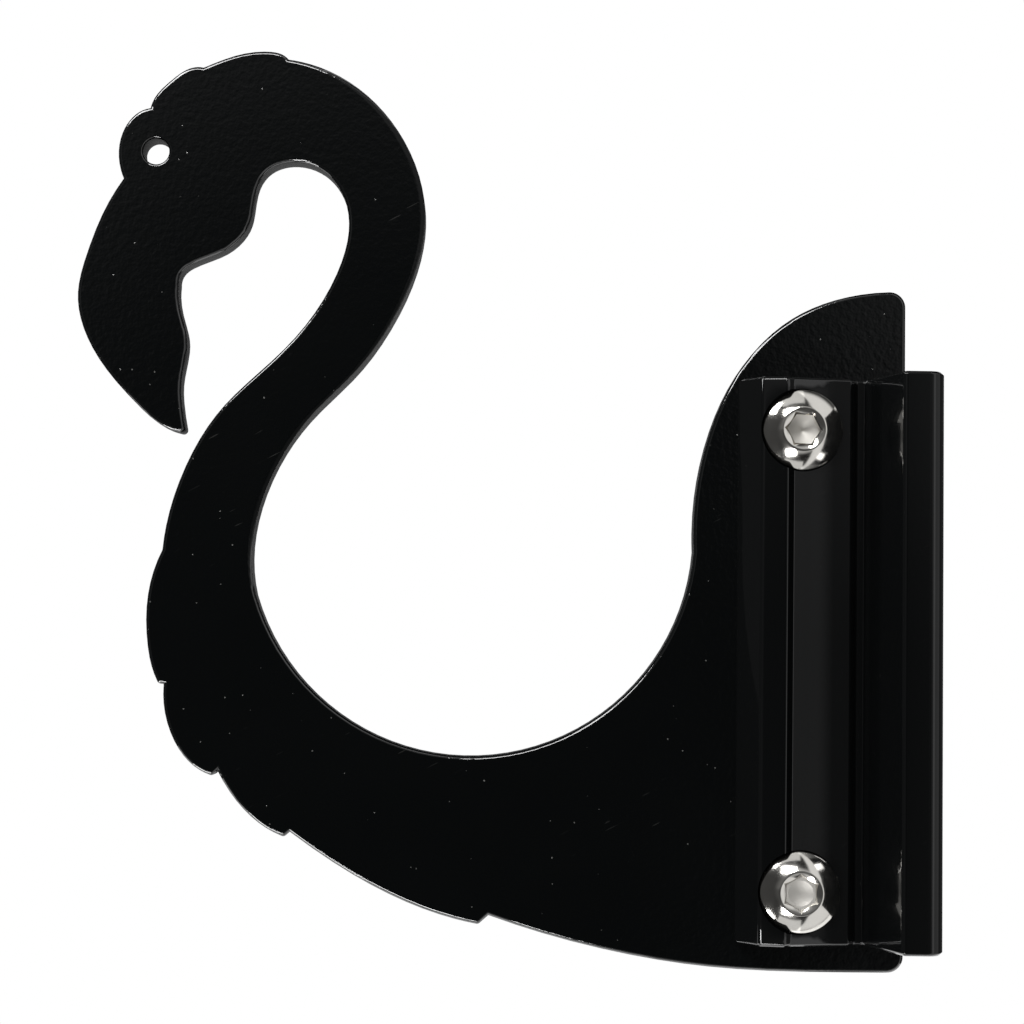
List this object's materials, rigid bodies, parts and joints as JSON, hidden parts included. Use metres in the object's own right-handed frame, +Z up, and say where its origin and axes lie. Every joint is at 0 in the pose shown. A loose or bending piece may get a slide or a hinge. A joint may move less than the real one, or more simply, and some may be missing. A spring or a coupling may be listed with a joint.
{
  "type": "decorative wall hook",
  "caption": "Flat steel hook cut as a wading bird with a deep round bight, clamped along its back edge between two extruded jaws by button-head screws.",
  "frame": {"origin": "on the plate's straight back edge, half way between the two screws, in the plate's mid-plane", "axes": "+X out of the back edge towards the rail or wall, +Y through the plate from the screw heads to the screw tips, +Z up"},
  "size_m": [0.1196, 0.0326, 0.128],
  "materials": {
    "plate_coat": "gloss black powder coat on steel plate",
    "jaw_coat": "satin black coat on an extruded bar",
    "stainless": "bright turned stainless steel"
  },
  "bodies": {
    "root": {"hook_plate": "plate_coat", "front_jaw": "jaw_coat", "rear_jaw": "jaw_coat", "upper_screw": "stainless", "lower_screw": "stainless"}
  },
  "joints": []
}
